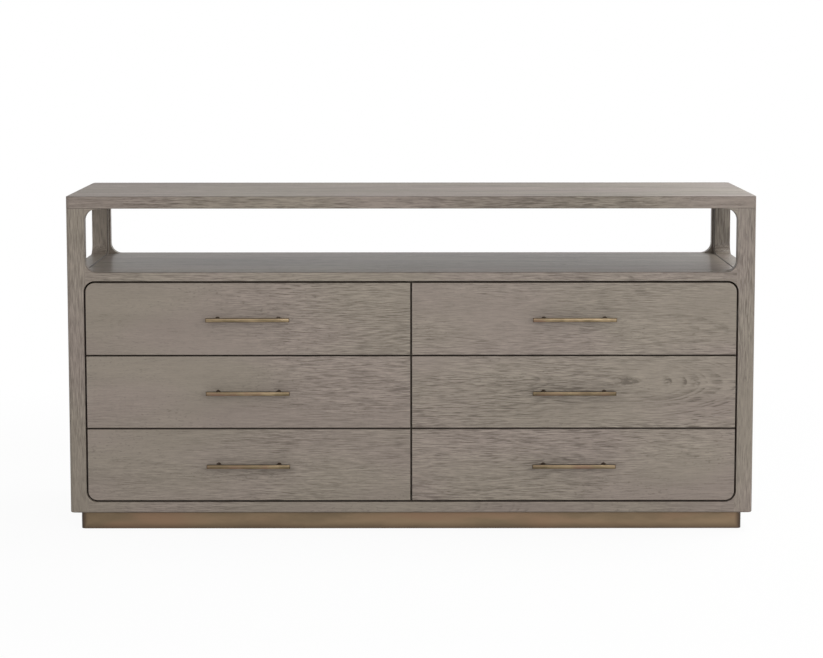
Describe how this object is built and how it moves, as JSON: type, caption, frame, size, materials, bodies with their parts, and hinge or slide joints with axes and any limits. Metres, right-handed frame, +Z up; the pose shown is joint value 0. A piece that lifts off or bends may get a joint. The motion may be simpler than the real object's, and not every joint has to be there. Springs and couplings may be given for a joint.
{
  "type": "dresser",
  "caption": "Low wide oak dresser: flush drawers with slim bar pulls below an open bay with rounded corners, on a recessed brass plinth.",
  "frame": {"origin": "on the floor, in the middle of the footprint that the carcass and its pulls cover together", "axes": "+Z up, front with the drawers towards -Y, +X to the right seen from the front"},
  "size_m": [1.81, 0.538, 0.89],
  "materials": {
    "oak": "satin, ash-grey stained oak",
    "drawer_wood": "satin, pale hardwood",
    "panel_board": "matt, grey-stained plywood",
    "dowel_wood": "plain beech",
    "brass": "brushed, aged brass",
    "aged_brass": "aged brass sheet, satin",
    "runner_steel": "zinc-plated",
    "foot_plastic": "black nylon"
  },
  "bodies": {
    "carcass": {"top_panel": "oak", "front_stile_left": "oak", "front_stile_right": "oak", "rear_stile_left": "oak", "rear_stile_right": "oak", "front_shelf_rail": "oak", "rear_shelf_rail": "oak", "front_bottom_rail": "oak", "rear_bottom_rail": "oak", "side_panel_left": "oak", "side_panel_right": "oak", "shelf_panel": "oak", "bottom_panel": "panel_board", "back_panel": "panel_board", "centre_divider": "panel_board", "plinth_front": "aged_brass", "plinth_back": "aged_brass", "plinth_left": "aged_brass", "plinth_right": "aged_brass", "plinth_cross_rail": "drawer_wood", "plinth_corner_blocks": "drawer_wood", "levelling_feet": "foot_plastic", "cabinet_runners": "runner_steel", "top_dowels": "dowel_wood"},
    "drawer_lower_left": {"drawer_front_lower_left": "oak", "drawer_box_lower_left": "drawer_wood", "drawer_bottom_lower_left": "panel_board", "pull_lower_left": "brass", "drawer_runners_lower_left": "runner_steel"},
    "runner_lower_left": {"middle_runners_lower_left": "runner_steel"},
    "drawer_lower_right": {"drawer_front_lower_right": "oak", "drawer_box_lower_right": "drawer_wood", "drawer_bottom_lower_right": "panel_board", "pull_lower_right": "brass", "drawer_runners_lower_right": "runner_steel"},
    "runner_lower_right": {"middle_runners_lower_right": "runner_steel"},
    "drawer_middle_left": {"drawer_front_middle_left": "oak", "drawer_box_middle_left": "drawer_wood", "drawer_bottom_middle_left": "panel_board", "pull_middle_left": "brass", "drawer_runners_middle_left": "runner_steel"},
    "runner_middle_left": {"middle_runners_middle_left": "runner_steel"},
    "drawer_middle_right": {"drawer_front_middle_right": "oak", "drawer_box_middle_right": "drawer_wood", "drawer_bottom_middle_right": "panel_board", "pull_middle_right": "brass", "drawer_runners_middle_right": "runner_steel"},
    "runner_middle_right": {"middle_runners_middle_right": "runner_steel"},
    "drawer_upper_left": {"drawer_front_upper_left": "oak", "drawer_box_upper_left": "drawer_wood", "drawer_bottom_upper_left": "panel_board", "pull_upper_left": "brass", "drawer_runners_upper_left": "runner_steel"},
    "runner_upper_left": {"middle_runners_upper_left": "runner_steel"},
    "drawer_upper_right": {"drawer_front_upper_right": "oak", "drawer_box_upper_right": "drawer_wood", "drawer_bottom_upper_right": "panel_board", "pull_upper_right": "brass", "drawer_runners_upper_right": "runner_steel"},
    "runner_upper_right": {"middle_runners_upper_right": "runner_steel"}
  },
  "joints": [
    {"name": "drawer_lower_left_slide", "type": "slide", "parent": "carcass", "child": "drawer_lower_left", "axis": [0, -1, 0], "range_m": [0, 0.39]},
    {"name": "runner_lower_left_slide", "type": "slide", "parent": "carcass", "child": "runner_lower_left", "axis": [0, -1, 0], "range_m": [0, 0.195]},
    {"name": "drawer_lower_right_slide", "type": "slide", "parent": "carcass", "child": "drawer_lower_right", "axis": [0, -1, 0], "range_m": [0, 0.39]},
    {"name": "runner_lower_right_slide", "type": "slide", "parent": "carcass", "child": "runner_lower_right", "axis": [0, -1, 0], "range_m": [0, 0.195]},
    {"name": "drawer_middle_left_slide", "type": "slide", "parent": "carcass", "child": "drawer_middle_left", "axis": [0, -1, 0], "range_m": [0, 0.39]},
    {"name": "runner_middle_left_slide", "type": "slide", "parent": "carcass", "child": "runner_middle_left", "axis": [0, -1, 0], "range_m": [0, 0.195]},
    {"name": "drawer_middle_right_slide", "type": "slide", "parent": "carcass", "child": "drawer_middle_right", "axis": [0, -1, 0], "range_m": [0, 0.39]},
    {"name": "runner_middle_right_slide", "type": "slide", "parent": "carcass", "child": "runner_middle_right", "axis": [0, -1, 0], "range_m": [0, 0.195]},
    {"name": "drawer_upper_left_slide", "type": "slide", "parent": "carcass", "child": "drawer_upper_left", "axis": [0, -1, 0], "range_m": [0, 0.39]},
    {"name": "runner_upper_left_slide", "type": "slide", "parent": "carcass", "child": "runner_upper_left", "axis": [0, -1, 0], "range_m": [0, 0.195]},
    {"name": "drawer_upper_right_slide", "type": "slide", "parent": "carcass", "child": "drawer_upper_right", "axis": [0, -1, 0], "range_m": [0, 0.39]},
    {"name": "runner_upper_right_slide", "type": "slide", "parent": "carcass", "child": "runner_upper_right", "axis": [0, -1, 0], "range_m": [0, 0.195]}
  ],
  "couplings": [
    {"joint": "runner_lower_left_slide", "follows": "drawer_lower_left_slide", "ratio": 0.5},
    {"joint": "runner_lower_right_slide", "follows": "drawer_lower_right_slide", "ratio": 0.5},
    {"joint": "runner_middle_left_slide", "follows": "drawer_middle_left_slide", "ratio": 0.5},
    {"joint": "runner_middle_right_slide", "follows": "drawer_middle_right_slide", "ratio": 0.5},
    {"joint": "runner_upper_left_slide", "follows": "drawer_upper_left_slide", "ratio": 0.5},
    {"joint": "runner_upper_right_slide", "follows": "drawer_upper_right_slide", "ratio": 0.5}
  ]
}
